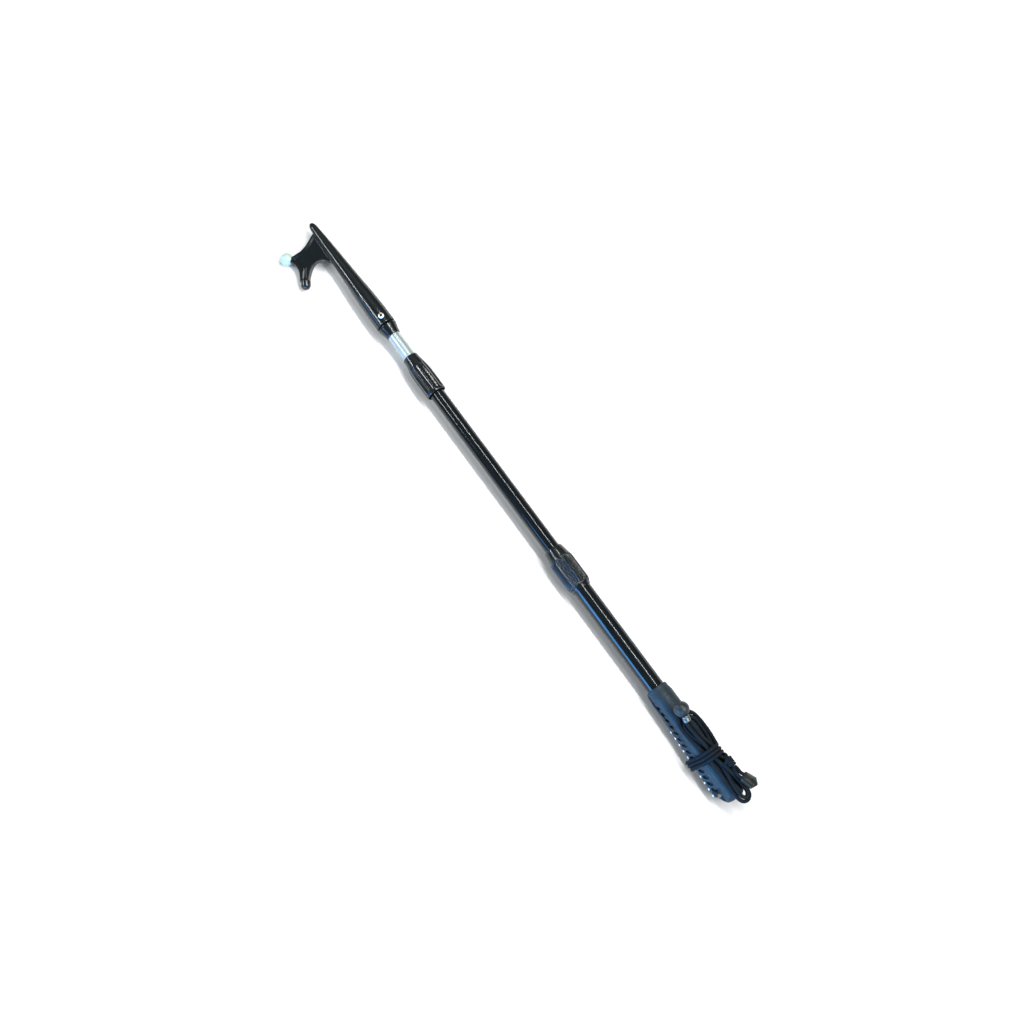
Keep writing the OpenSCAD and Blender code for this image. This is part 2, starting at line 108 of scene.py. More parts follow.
class Finish:
    """A node material with helpers to add layers of detail. Textures use the mesh's own metres."""

    def __init__(self, name, base, rough, metal=0.0, **sockets):
        self.mat = bpy.data.materials.new(name)
        self.mat.use_nodes = True
        self.tree = self.mat.node_tree
        self.bsdf = self.tree.nodes["Principled BSDF"]
        self.set(**{"Base Color": (*base, 1), "Roughness": rough, "Metallic": metal})
        self.set(**sockets)
        self.bump = None
        self.colour = None
        self.base = base
        self.rough = rough
        self.coords = self.node("ShaderNodeTexCoord")

    def set(self, **sockets):
        for key, value in sockets.items():
            self.bsdf.inputs[key.replace("_", " ")].default_value = value

    def node(self, kind, **settings):
        made = self.tree.nodes.new(kind)
        for key, value in settings.items():
            setattr(made, key, value)
        return made

    def link(self, a, b):
        self.tree.links.new(a, b)

    def where(self, stretch=(1, 1, 1), offset=(0, 0, 0)):
        m = self.node("ShaderNodeMapping")
        m.inputs["Scale"].default_value = stretch
        m.inputs["Location"].default_value = offset
        self.link(self.coords.outputs["Object"], m.inputs["Vector"])
        return m.outputs["Vector"]

    def noise(self, scale, detail=3.0, rough=0.55, stretch=(1, 1, 1), offset=(0, 0, 0)):
        n = self.node("ShaderNodeTexNoise")
        n.inputs["Scale"].default_value = scale
        n.inputs["Detail"].default_value = detail
        n.inputs["Roughness"].default_value = rough
        self.link(self.where(stretch, offset), n.inputs["Vector"])
        return n.outputs["Fac"]

    def cells(self, scale):
        n = self.node("ShaderNodeTexVoronoi")
        n.inputs["Scale"].default_value = scale
        self.link(self.where(), n.inputs["Vector"])
        return n.outputs["Distance"]

    def ramp(self, fac, low, high, a=0.0, b=1.0):
        """fac from low to high becomes a to b."""
        r = self.node("ShaderNodeMapRange", clamp=True)
        for key, value in (("From Min", low), ("From Max", high), ("To Min", a), ("To Max", b)):
            r.inputs[key].default_value = value
        self.link(fac, r.inputs["Value"])
        return r.outputs["Result"]

    def times(self, a, b):
        m = self.node("ShaderNodeMath", operation="MULTIPLY")
        self.link(a, m.inputs[0])
        if isinstance(b, (int, float)):
            m.inputs[1].default_value = b
        else:
            self.link(b, m.inputs[1])
        return m.outputs[0]

    def tint(self, fac, colour):
        """Mixes a colour over what there is, by fac."""
        m = self.node("ShaderNodeMix", data_type="RGBA")
        if self.colour is None:
            m.inputs[6].default_value = (*self.base, 1)
        else:
            self.link(self.colour, m.inputs[6])
        m.inputs[7].default_value = (*colour, 1)
        self.link(fac, m.inputs[0])
        self.colour = m.outputs[2]
        self.link(self.colour, self.bsdf.inputs["Base Color"])
        return self

    def roughen(self, fac, low, high):
        self.link(self.ramp(fac, 0.3, 0.7, low, high), self.bsdf.inputs["Roughness"])
        return self

    def emboss(self, height, depth_mm, strength=1.0):
        b = self.node("ShaderNodeBump")
        b.inputs["Distance"].default_value = depth_mm * MM
        b.inputs["Strength"].default_value = strength
        self.link(height, b.inputs["Height"])
        if self.bump is not None:
            self.link(self.bump, b.inputs["Normal"])
        self.bump = b.outputs["Normal"]
        self.link(self.bump, self.bsdf.inputs["Normal"])
        return self


def scratches(f, scale, amount, colour, stretch=(1, 14, 14), offset=(0, 0, 0)):
    """Fine hairline marks where a stretched noise peaks."""
    lines = f.ramp(f.noise(scale, 2.0, 0.5, stretch, offset), 0.66, 0.72)
    where = f.ramp(f.noise(28, 3.0, 0.6, offset=offset), 0.5, 0.66, 0, amount)
    f.tint(f.times(lines, where), colour)


def nylon(name, base, rough, seed):
    f = Finish(name, base, rough)
    f.tint(f.ramp(f.noise(35, 4, 0.6, offset=(seed, 0, 0)), 0.35, 0.7), tuple(c * 1.25 for c in base))
    scratches(f, 60, 0.25, (0.014, 0.017, 0.018), (1, 9, 9), (seed, 2, 0))
    f.roughen(f.noise(90, 3, 0.5, offset=(0, seed, 0)), rough - 0.02, rough + 0.03)
    f.emboss(f.noise(2600, 2, 0.5), 0.006, 0.3)
    f.emboss(f.noise(40, 1, 0.5, offset=(0, 0, seed)), 0.02, 0.2)
    return f.mat


def anodised():
    f = Finish("anodised_black", (0.0028, 0.0042, 0.0046), 0.12, 0.0, Specular_IOR_Level=0.36)
    f.tint(f.ramp(f.noise(40, 4, 0.6, (1, 6, 6)), 0.4, 0.75), (0.005, 0.0075, 0.008))
    scratches(f, 30, 0.35, (0.03, 0.034, 0.036), (1, 40, 40))
    scratches(f, 160, 0.2, (0.04, 0.044, 0.046), (30, 1, 1), (3, 1, 0))
    f.roughen(f.noise(120, 3, 0.6, (0.4, 6, 6)), 0.1, 0.15)
    f.emboss(f.noise(60, 1, 0.5, (0.03, 2, 2)), 0.002, 0.1)
    return f.mat


def aluminium():
    f = Finish("aluminium", (0.5, 0.57, 0.56), 0.4, 0.75)
    f.tint(f.ramp(f.noise(60, 4, 0.6, (0.1, 9, 9)), 0.4, 0.6), (0.3, 0.35, 0.35))
    scratches(f, 120, 0.6, (0.16, 0.18, 0.18), (0.3, 22, 22))
    scratches(f, 90, 0.5, (0.2, 0.22, 0.22), (26, 1, 1), (1, 0, 2))
    f.roughen(f.noise(300, 3, 0.6, (0.15, 5, 5)), 0.38, 0.52)
    f.emboss(f.noise(900, 2, 0.5, (0.03, 3, 3)), 0.01, 0.5)
    return f.mat


def rubber():
    f = Finish("grip_rubber", (0.007, 0.0155, 0.021), 0.5, Specular_IOR_Level=0.32)
    f.tint(f.ramp(f.noise(45, 5, 0.62), 0.35, 0.7), (0.0105, 0.0215, 0.029))
    f.tint(f.ramp(f.noise(420, 3, 0.6, offset=(1, 1, 0)), 0.52, 0.74, 0, 0.5), (0.017, 0.032, 0.043))
    scratches(f, 45, 0.3, (0.028, 0.045, 0.058), (1, 8, 8), (4, 0, 0))
    f.roughen(f.noise(150, 4, 0.65), 0.42, 0.6)
    f.emboss(f.cells(1100), 0.05, 0.5)
    f.emboss(f.noise(160, 4, 0.6), 0.12, 0.5)
    f.emboss(f.noise(30, 2, 0.5, (0.5, 1.4, 1.4)), 0.5, 0.4)
    return f.mat


def braid(name, base, fleck):
    """The fibres of a braided cord; its strands are in the mesh."""
    f = Finish(name, base, 0.8, Specular_IOR_Level=0.16)
    f.tint(f.ramp(f.noise(60, 3, 0.6), 0.35, 0.7), tuple(c * 1.5 for c in base))
    f.tint(f.ramp(f.cells(900), 0.05, 0.3, 0.35, 0.0), fleck)
    f.roughen(f.noise(300, 3, 0.6), 0.6, 0.85)
    f.emboss(f.noise(4200, 2, 0.6), 0.06, 0.6)
    f.emboss(f.noise(900, 3, 0.6), 0.1, 0.5)
    return f.mat


def plastic(name, base, rough, seed=0.0, grain=0.02, **sockets):
    f = Finish(name, base, rough, **sockets)
    darker, lighter = tuple(c * 0.86 for c in base), tuple(min(1, c * 1.25) for c in base)
    f.tint(f.ramp(f.noise(80, 4, 0.6, offset=(seed, 1, 0)), 0.35, 0.72), darker)
    f.tint(f.ramp(f.noise(900, 2, 0.6, offset=(seed, 0, 1)), 0.6, 0.78, 0, 0.35), lighter)
    f.roughen(f.noise(140, 4, 0.6, offset=(0, seed, 1)), rough - 0.06, rough + 0.08)
    f.emboss(f.noise(2200, 2, 0.5), grain, 0.5)
    return f.mat


def metal(name, base, rough):
    f = Finish(name, base, rough, 1.0)
    f.tint(f.ramp(f.noise(400, 3, 0.6), 0.4, 0.7), tuple(c * 0.82 for c in base))
    scratches(f, 500, 0.6, tuple(c * 0.6 for c in base), (1, 8, 8))
    f.roughen(f.noise(600, 3, 0.6), rough - 0.06, rough + 0.1)
    f.emboss(f.noise(1500, 2, 0.5), 0.02, 0.4)
    return f.mat


M = {
    "head": nylon("head_nylon", (0.0038, 0.0058, 0.006), 0.17, 0.0),
    "collar": nylon("collar_nylon", (0.0038, 0.0056, 0.006), 0.18, 3.0),
    "tube": anodised(),
    "alu": aluminium(),
    "grip": rubber(),
    "cord": braid("cord_braid", (0.0022, 0.0048, 0.0078), (0.008, 0.017, 0.028)),
    "thread": braid("seam_thread", (0.003, 0.005, 0.008), (0.012, 0.02, 0.03)),
    # pale thread for the seam's edge stitches: its pale colour is painted glints on the dark thread
    "lacing": plastic("edge_thread_painted_glints", (0.74, 0.82, 0.86), 0.25),
    "ball": plastic("ball_plastic", (0.4, 0.52, 0.475), 0.3, 1.0, 0.01),
    "bead": plastic("bead_plastic", (0.009, 0.015, 0.019), 0.42, 2.0, 0.01, Specular_IOR_Level=0.4),
    "ring": metal("collar_metal", (0.16, 0.18, 0.18), 0.42),
    "tab": plastic("tab_plastic", (0.011, 0.015, 0.014), 0.2, 4.0, 0.01),
    "natural": plastic("natural_nylon", (0.72, 0.70, 0.63), 0.45, 5.0),
    "plug": plastic("plug_plastic", (0.028, 0.03, 0.033), 0.45, 6.0),
    "foam": plastic("foam_grain", (0.8, 0.8, 0.76), 0.9, 7.0, 0.3),
    "rivet": metal("rivet_metal", (0.92, 0.94, 0.93), 0.45),
    "steel": metal("steel_metal", (0.55, 0.56, 0.56), 0.3),
}

CAD_LOOK = {
    "outer_tube": "tube", "middle_tube": "tube", "inner_tube": "alu",
    "lower_ferrule": "collar", "upper_ferrule": "collar",
    "lower_collar_nut": "collar", "upper_collar_nut": "collar",
    "lower_collet": "natural", "upper_collet": "natural",
    "middle_guide_ring": "natural", "inner_guide_ring": "natural",
    "middle_plug": "plug", "inner_plug": "plug", "butt_plug": "plug", "inner_float": "foam",
    "head_reducer": "head", "head_rivets": "rivet", "ball_stud": "steel", "ball_tip": "ball",
    "hook_head": "head", "grip_sleeve": "grip", "grip_lacing": "lacing",
    "lanyard_hank": "cord", "lanyard_wrap": "cord", "lanyard_bead": "bead",
    "lanyard_bead_collar": "ring", "lanyard_legs": "cord", "lanyard_knot": "cord",
    "lanyard_tails": "cord", "lanyard_tab": "tab",
}
for node, look in CAD_LOOK.items():
    NODES[node].data.materials.clear()
    NODES[node].data.materials.append(M[look])


# ---------- mesh helpers ----------

def outward(me):
    bm = bmesh.new()
    bm.from_mesh(me)
    bmesh.ops.recalc_face_normals(bm, faces=bm.faces)
    bm.to_mesh(me)
    bm.free()


def piece(name, verts, faces, look, body):
    """A smooth shaded mesh that rides a body and shows its look in a slot."""
    me = bpy.data.meshes.new(name)
    me.from_pydata([tuple(v) for v in verts], [], faces)
    me.update()
    outward(me)
    me.shade_smooth()
    me.materials.append(M[look])
    ob = bpy.data.objects.new(name, me)
    bpy.context.scene.collection.objects.link(ob)
    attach(ob, body)
    return ob


def catmull(points, per):
    """A smooth line through points, with about per points a span."""
    p = [Vector(q) for q in points]
    p = [2 * p[0] - p[1]] + p + [2 * p[-1] - p[-2]]
    out = []
    for i in range(1, len(p) - 2):
        a, b, c, d = p[i - 1], p[i], p[i + 1], p[i + 2]
        for k in range(per):
            t = k / per
            out.append(0.5 * (2 * b + (c - a) * t + (2 * a - 5 * b + 4 * c - d) * t * t
                              + (3 * b - 3 * c + d - a) * t ** 3))
    out.append(p[-2])
    return out


def even(line, step):
    """The line again with even spacing."""
    pts = np.array([tuple(p) for p in line])
    run = np.concatenate([[0], np.cumsum(np.linalg.norm(np.diff(pts, axis=0), axis=1))])
    at = np.linspace(0, run[-1], max(3, int(math.ceil(run[-1] / step)) + 1))
    return np.stack([np.interp(at, run, pts[:, k]) for k in range(3)], axis=1)


def relaxed(pts, rounds, pin=2):
    """Takes the kinks out of an even line, its ends held."""
    for _ in range(rounds):
        mid = pts.copy()
        mid[1:-1] = (pts[:-2] + 2 * pts[1:-1] + pts[2:]) / 4
        mid[:pin], mid[-pin:] = pts[:pin], pts[-pin:]
        pts = mid
    return pts


def tube_mesh(line, radius, around, relief, strands, pitch):
    """Verts and faces of a cord with a braid's relief along an even line in metres."""
    line = np.array(line)
    tangent = np.gradient(line, axis=0)
    tangent /= np.linalg.norm(tangent, axis=1)[:, None]
    side = np.cross(tangent[0], (0, 0, 1))
    if np.linalg.norm(side) < 1e-3:
        side = np.cross(tangent[0], (0, 1, 0))
    side /= np.linalg.norm(side)
    sides = [side]
    for t in tangent[1:]:
        side = side - t * (side @ t)
        side = side / np.linalg.norm(side)
        sides.append(side)
    sides = np.array(sides)
    ups = np.cross(tangent, sides)
    run = np.concatenate([[0], np.cumsum(np.linalg.norm(np.diff(line, axis=0), axis=1))])
    angles = np.linspace(0, 2 * math.pi, around, endpoint=False)
    verts = np.zeros((len(line), around, 3))
    for j, a in enumerate(angles):
        bump = np.cos(strands * a + math.pi * run / pitch) * np.cos(strands * a - math.pi * run / pitch)
        r = radius * (1 + relief * bump)
        verts[:, j] = line + sides * (r * math.cos(a))[:, None] + ups * (r * math.sin(a))[:, None]
    faces = []
    for i in range(len(line) - 1):
        for j in range(around):
            k = (j + 1) % around
            faces.append((i * around + j, (i + 1) * around + j, (i + 1) * around + k, i * around + k))
    last = (len(line) - 1) * around
    faces.append(tuple(range(around)))
    faces.append(tuple(range(last, last + around))[::-1])
    return verts.reshape(-1, 3), faces


def joined(parts):
    """One list of verts and faces from several."""
    verts, faces = [], []
    for v, f in parts:
        base = len(verts)
        verts.extend([tuple(x) for x in v])
        faces.extend([tuple(i + base for i in face) for face in f])
    return verts, faces


# ---------- floor and lights ----------

def make_stage():
    size, n = 9.0, 2
    verts = [(size * (i / n - 0.5), size * (j / n - 0.5), 0) for j in range(n + 1) for i in range(n + 1)]
    faces = [(j * (n + 1) + i, j * (n + 1) + i + 1, (j + 1) * (n + 1) + i + 1, (j + 1) * (n + 1) + i)
             for j in range(n) for i in range(n)]
    me = bpy.data.meshes.new("floor")
    me.from_pydata(verts, [], faces)
    f = Finish("floor_paper", (0.86, 0.865, 0.87), 0.85)
    f.tint(f.ramp(f.noise(3, 3, 0.5), 0.35, 0.7), (0.83, 0.835, 0.842))
    me.materials.append(f.mat)
    floor = bpy.data.objects.new("floor", me)
    bpy.context.scene.collection.objects.link(floor)
    spared = bpy.data.collections.new("not_the_floor")
    spared.objects.link(floor)
    spared.collection_objects[0].light_linking.link_state = "EXCLUDE"
    world = bpy.data.worlds.new("studio")
    world.use_nodes = True
    world.node_tree.nodes["Background"].inputs["Color"].default_value = (0.9, 0.96, 1, 1)
    world.node_tree.nodes["Background"].inputs["Strength"].default_value = 0.16
    bpy.context.scene.world = world
    bpy.context.scene.view_settings.view_transform = "Standard"
    return spared


def sun_light(name, towards, strength, angle, colour):
    data = bpy.data.lights.new(name, "SUN")
    data.energy, data.angle, data.color = strength, math.radians(angle), colour
    ob = bpy.data.objects.new(name, data)
    ob.rotation_euler = Vector(towards).to_track_quat("Z", "Y").to_euler()
    bpy.context.scene.collection.objects.link(ob)
    return ob


def area_light(name, place, aim, size, power, colour):
    data = bpy.data.lights.new(name, "AREA")
    data.shape, data.size, data.size_y = "RECTANGLE", size[0], size[1]
    data.energy, data.color = power, colour
    ob = bpy.data.objects.new(name, data)
    place, aim = Vector(place), Vector(aim)
    back = (place - aim).normalized()
    along = Vector((1, 0, 0)) - back * back.x
    along.normalize()
    turn = Matrix((along, back.cross(along), back)).transposed().to_4x4()
    ob.matrix_world = Matrix.Translation(place) @ turn
    bpy.context.scene.collection.objects.link(ob)
    return ob


PANE = (0.15, 0.45, 1)                 # blue of the small windows, which don't light the floor

spared_floor = make_stage()
sun_light("key", (-0.5, -0.42, 0.76), 2.8, 48, (1, 1, 1))
area_light("strip_top", (0.05, -0.62, 1.75), (0.05, -0.03, 0), (1.9, 0.06), 27, (1, 1, 1))
area_light("strip_head", (1.15, 1.0, 1.05), (0.48, 0, 0.02), (1.1, 0.08), 15, (0.97, 1, 1))
area_light("soft_top", (0.0, -0.95, 2.6), (0.0, 0, 0), (2.0, 1.2), 3, (0.97, 1, 0.99))
area_light("soft_far", (1.45, -0.65, 1.6), (0.48, 0, 0), (1.5, 1.7), 2, (0.95, 1, 0.98))
window_side = area_light("window_side", (-0.62, 1.3, 0.36), (-0.5, -0.03, 0), (1.3, 0.62), 42,
                         (0.13, 0.45, 1))
window_far = area_light("window_far", (0.95, 1.25, 0.45), (0.45, -0.03, 0), (0.3, 0.3), 2, PANE)
window_mid = area_light("window_mid", (0.08, 1.25, 0.68), (0.35, -0.03, 0), (0.35, 0.35), 4, PANE)
window_butt = area_light("window_butt", (-1.35, 0.5, 0.55), (-0.6, -0.03, 0.02), (0.3, 0.3), 9,
                         (0.25, 0.6, 1))
for window in (window_side, window_far, window_mid, window_butt):
    window.light_linking.receiver_collection = spared_floor


# ---------- lanyard ----------
# Routes are in the grip's own frame, in mm: along the pole, across, out from its axis.

SKIN = GRIP_R + CORD_D / 2 + 0.3       # a cord's middle when it lies on the grip


FOLD_POINTS = 9


def u_turn(x, v_from, v_to, reach, height):
    """A fold of the cord at x that bulges by reach; height gives the cord's height at (x, v)."""
    mid, half = (v_from + v_to) / 2, (v_from - v_to) / 2
    out = []
    for k in range(FOLD_POINTS):
        a = math.pi * k / (FOLD_POINTS - 1)
        px, pv = x + reach * math.sin(a), mid + half * math.cos(a)
        out.append((px, pv, height(px, pv)))
    return out


def skin_height(x, v):
    return math.sqrt(SKIN ** 2 - v * v)


def on_skin(x, v):
    return (x, v, skin_height(x, v))


COLLAR_END = (-459.4, 31.2)
LEG_V = -8.0

out_leg = [
    (COLLAR_END[0], LEG_V - 3.1, COLLAR_END[1]), (-466, -10.9, 30.2), (-480, -9.6, 29.2), (-490, -8.3, 29.0),
    (-498, -7.2, 28.8), (-505, -6.4, 28.7), (-512, -6.0, 28.0), (-521, -6.0, 27.5), (-531, -5.4, 28.3),
    (-542, -3.0, 30.3), (-554, -0.2, 30.6), (-567, 2.2, 29.2), (-580, 4.0, 28.5),
]
upper_fold = u_turn(-593.5, 4.9, -8.9, -9.6, lambda x, v: 28.3 - 0.10 * max(0, -594 - x) ** 1.3)
middle_run = [
    (-583, -8.6, 28.2), (-572, -7.2, 27.6), (-560, -4.8, 26.2), (-546, -2.8, 24.4), (-533, -1.6, 23.4),
    on_skin(-521, -1.5), on_skin(-510, -2.2), on_skin(-498, -6.0), on_skin(-486, -9.6), on_skin(-476, -11.4),
]
inner_fold = u_turn(-466.5, -12.2, 13.0, 13.5, skin_height)
inner_run = [
    on_skin(-478, 12.9), on_skin(-486, 12.2), on_skin(-494, 11.0), on_skin(-502, 9.3), on_skin(-510, 8.0),
    on_skin(-521, 7.5), on_skin(-533, 7.3), on_skin(-548, 7.6), on_skin(-564, 8.9), on_skin(-580, 10.2),
]
lower_fold = u_turn(-596.5, 10.8, -12.2, -11.6, lambda x, v: 21.6 - 0.10 * max(0, -600 - x) ** 1.2)
outer_run = [
    on_skin(-582, -11.6), on_skin(-566, -11.2), on_skin(-548, -10.8), on_skin(-533, -10.5),
    on_skin(-521, -10.5), on_skin(-510, -11.4), on_skin(-496, -13.8), on_skin(-482, -15.6),
    on_skin(-472, -16.2),
]
outer_fold = u_turn(-461.5, -16.4, 18.4, 17.6,
                    lambda x, v: skin_height(x, v) if v < 8 else skin_height(x, 8) + (v - 8) * -0.30)
last_run = [(-474, 19.3, 18.9), (-486, 19.3, 19.0), (-497, 17.8, 20.0), (-505, 15.2, 22.4)]

# What the turns go round, as (across, out, radius), and the seam flange
BUNDLE = [(-10.5, 20.8, 3.0), (-1.5, 23.3, 3.0), (7.5, 22.1, 3.0), (-6.0, 27.4, 3.0), (3.0, 27.2, 3.0)]
FLANGE_DEG = 122.6                     # round from the hank's middle, towards the hook
FLANGE_AT = math.radians(FLANGE_DEG)
WRAP_START, WRAP_PITCH = -514.2, 6.15


def wrap_support():
    """Convex outline round grip, flange and cords, as radius by whole degree from the hank's middle."""
    pts = []
    grow = CORD_D / 2 + 0.5
    rounds = [(0, 0, GRIP_R)] + BUNDLE
    rounds.append((-25.7 * math.sin(FLANGE_AT), 25.7 * math.cos(FLANGE_AT), 2.4))
    for v, n, r in rounds:
        for k in range(90):
            a = 2 * math.pi * k / 90
            pts.append((v + (r + grow) * math.cos(a), n + (r + grow) * math.sin(a)))
    pts.sort()

    def half(seq):
        hull = []
        for q in seq:
            while len(hull) > 1 and ((hull[-1][0] - hull[-2][0]) * (q[1] - hull[-2][1])
                                     - (hull[-1][1] - hull[-2][1]) * (q[0] - hull[-2][0])) <= 0:
                hull.pop()
            hull.append(q)
        return hull[:-1]

    hull = half(pts) + half(pts[::-1])
    radii = []
    for deg in range(360):
        a = math.radians(deg)
        dv, dn = -math.sin(a), math.cos(a)
        best = 0
        for (v1, n1), (v2, n2) in zip(hull, hull[1:] + hull[:1]):
            det = dv * (n1 - n2) - dn * (v1 - v2)
            if abs(det) < 1e-9:
                continue
            t = (v1 * (n1 - n2) - n1 * (v1 - v2)) / det
            w = (dv * n1 - dn * v1) / det
            if -1e-6 <= w <= 1 + 1e-6 and t > best:
                best = t
        radii.append(best)
    return radii


RADII = wrap_support()


def wrap_point(deg):
    """A point of the turns; they bow towards the rim where they cross the flange."""
    r = np.interp(deg % 360, range(361), RADII + RADII[:1])
    a = math.radians(deg)
    off = (deg % 360 - FLANGE_DEG) / 62
    x = WRAP_START - WRAP_PITCH * deg / 360 + 7.5 * math.exp(-off * off)
    return (x, -r * math.sin(a), r * math.cos(a))


wrap_turns = [wrap_point(d) for d in range(-22, 1052, 12)]
KNOT_AT = (-545.0, 8.0, 33.4)
to_knot = [(-533.2, 11.6, 30.4), (-535.6, 9.4, 32.6), (-539.0, 8.2, 33.4)]

cord_points = (out_leg + upper_fold + middle_run + inner_fold + inner_run + lower_fold + outer_run
               + outer_fold + last_run + wrap_turns + to_knot)
STEP = 0.55 * MM


def grip_line(points, rounds=12):
    """An even line in metres through points in the grip's frame, its kinks taken out."""
    return even(relaxed(even(catmull([on_grip(*p) for p in points], 8), STEP), rounds), STEP)


cord_line = grip_line(cord_points, 60)
short_points = [(COLLAR_END[0], LEG_V + 3.1, COLLAR_END[1]), (-466, -4.6, 30.2), (-480, -3.2, 29.0),
                (-490, -1.8, 28.9), (-498, -0.2, 28.7), (-505, 1.6, 28.2), (-512, 2.8, 27.6), (-521, 3.0, 27.2),
                (-530, 3.6, 28.2), (-536, 5.8, 31.2), (-541, 7.4, 33.0)]
short_line = grip_line(short_points, 30)
BRAID = (0.055, 8, 0.0042)             # relief, strands and pitch


def cord_piece(name, line):
    v, f = tube_mesh(line, CORD_D / 2 * MM, 24, *BRAID)
    return piece(name, v, f, "cord", "handle")


cord = cord_piece("lanyard_cord", cord_line)
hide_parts("lanyard_hank", "lanyard_wrap", "lanyard_legs")
short_cord = cord_piece("lanyard_cord_short", short_line)


def knot_piece():
    """Barrel knot: three turns round the two cords, and one that rides back across them."""
    turns = []
    kx, kv, kn = KNOT_AT
    for k in range(0, 3 * 12 + 7):
        a = math.radians(-60 + 30 * k)
        turns.append((kx + 5.6 - k * 0.295, kv + 4.7 * math.sin(a), kn + 4.5 * math.cos(a)))
    a0 = math.radians(-60 + 30 * (3 * 12 + 6))
    for k in range(1, 9):
        a = a0 + math.radians(26 * k)
        r = 4.7 + 2.6 * min(1, k / 3) * (1 if k < 7 else 0.5)
        turns.append((kx - 7.1 + k * 1.45, kv + r * math.sin(a), kn + r * math.cos(a)))
    parts = [tube_mesh(grip_line(turns, 6), 2.6 * MM, 20, *BRAID)]
    core = [(kx + 9, kv + 0.4, kn - 0.4), (kx + 3, kv, kn), (kx - 6, kv, kn), (kx - 12, kv - 1.0, kn - 0.4),
            (kx - 16.2, kv - 1.8, kn - 0.4)]
    parts.append(tube_mesh(grip_line(core), 2.8 * MM, 20, *BRAID))
    v, f = joined(parts)
    return piece("lanyard_knot_turns", v, f, "cord", "handle")


TAILS = (
    [(-556.0, 6.8, 33.2), (-560.8, 6.0, 33.6), (-564, 4.8, 34.6), (-567.5, 4.0, 35.6), (-571, 4.0, 36.3),
     (-574.6, 5.5, 36.7), (-579, 7.3, 37.0)],
    [(-555.0, 10.6, 33.4), (-560.6, 11.8, 33.5), (-564, 11.0, 34.7), (-567.2, 10.6, 35.7),
     (-569.4, 10.9, 36.2), (-571.6, 11.8, 36.6), (-576, 13.8, 36.9)],
)


def tails_piece():
    v, f = joined([tube_mesh(grip_line(t), 2.8 * MM, 20, *BRAID) for t in TAILS])
    return piece("lanyard_tail_ends", v, f, "cord", "handle")


knot = knot_piece()
tails = tails_piece()
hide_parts("lanyard_knot")
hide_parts("lanyard_tails")


# ---------- solids of revolution and plates ----------

def lathe(name, profile, place, look, body, around, wave=None):
    """Closed ring of profile points (radius, along).

    place maps (x, y, z), with z along; wave changes the radius at an angle.
    """
    verts = []
    n = len(profile)
    for j in range(around):
        a = 2 * math.pi * j / around
        for r, z in profile:
            r = wave(r, z, a) if wave else r
            verts.append(place(r * math.cos(a), r * math.sin(a), z))
    faces = []
    for j in range(around):
        k = (j + 1) % around
        for i in range(n):
            m = (i + 1) % n
            faces.append((j * n + i, k * n + i, k * n + m, j * n + m))
    return piece(name, verts, faces, look, body)


BEAD_X, BEAD_R, BEAD_TILT = -438.5, 12.5, math.radians(20)
BEAD_N = GRIP_R + 0.3 + CORD_D + 0.3 + BEAD_R


def on_bead(x, y, z):
    """z runs from the bead's middle down its bore to the turns."""
    c, s = math.cos(BEAD_TILT), math.sin(BEAD_TILT)
    return on_grip(BEAD_X - z * c + x * s, LEG_V + y, BEAD_N - z * s - x * c)


def bead_radius(r, z, a):
    """The sides are very slightly flattened."""
    return r * (1 + 0.004 * math.cos(2 * a))


bore = 3.7
ball = [(BEAD_R * math.cos(math.radians(t)), BEAD_R * math.sin(math.radians(t))) for t in range(-72, 73, 3)]
ball = [(r - (0.22 if abs(z + 1.6) < 0.34 else 0), z) for r, z in ball]
bead_profile = [(bore, -BEAD_R * 0.93), (bore + 0.3, -BEAD_R * 0.953)] + ball + [
    (bore + 0.3, BEAD_R * 0.953), (bore, BEAD_R * 0.93), (bore, 0)]
bead = lathe("lanyard_bead_ball", bead_profile, on_bead, "bead", "handle", 96, bead_radius)
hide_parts("lanyard_bead")
ring_z = BEAD_R - 0.6
ring_profile = [(3.3, ring_z), (5.0, ring_z), (5.35, ring_z + 0.3), (5.5, ring_z + 1.0), (5.5, ring_z + 2.6),
                (5.15, ring_z + 3.0), (5.15, ring_z + 3.6), (5.5, ring_z + 4.0), (5.6, ring_z + 8.9),
                (5.45, ring_z + 9.6), (5.0, ring_z + 10.1), (4.5, ring_z + 10.2), (4.2, ring_z + 9.8),
                (4.0, ring_z + 7)]
ring = lathe("lanyard_bead_sleeve", ring_profile, lambda x, y, z: on_bead(x, y * 1.12, z), "ring",
             "handle", 72)
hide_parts("lanyard_bead_collar")


def rounded_plate(outline, layers, place):
    """Closed plate from an outline; layers are (inset, height) from its underside to its top."""
    pts = [Vector((x, y)) for x, y in outline]
    n = len(pts)
    centre = sum(pts, Vector((0, 0))) / n
    verts = []
    for inset, z in layers:
        for p in pts:
            q = p + (centre - p).normalized() * inset
            verts.append(place(q.x, q.y, z))
    faces = []
    for k in range(len(layers) - 1):
        for i in range(n):
            j = (i + 1) % n
            faces.append((k * n + i, k * n + j, (k + 1) * n + j, (k + 1) * n + i))
    faces.append(tuple(range(n))[::-1])
    faces.append(tuple(range((len(layers) - 1) * n, len(layers) * n)))
    return verts, faces


TAB_AT, TAB_TURN, TAB_LEAN = (-572.5, 8.5, 37.0), math.radians(157), math.radians(4)


def on_tab(x, y, z):
    c, s = math.cos(TAB_LEAN), math.sin(TAB_LEAN)
    x, z = (x + 2.1) * c + z * s, -(x + 2.1) * s + z * c
    c, s = math.cos(TAB_TURN), math.sin(TAB_TURN)
    return on_grip(TAB_AT[0] + x * c - y * s, TAB_AT[1] + x * s + y * c, TAB_AT[2] + z)


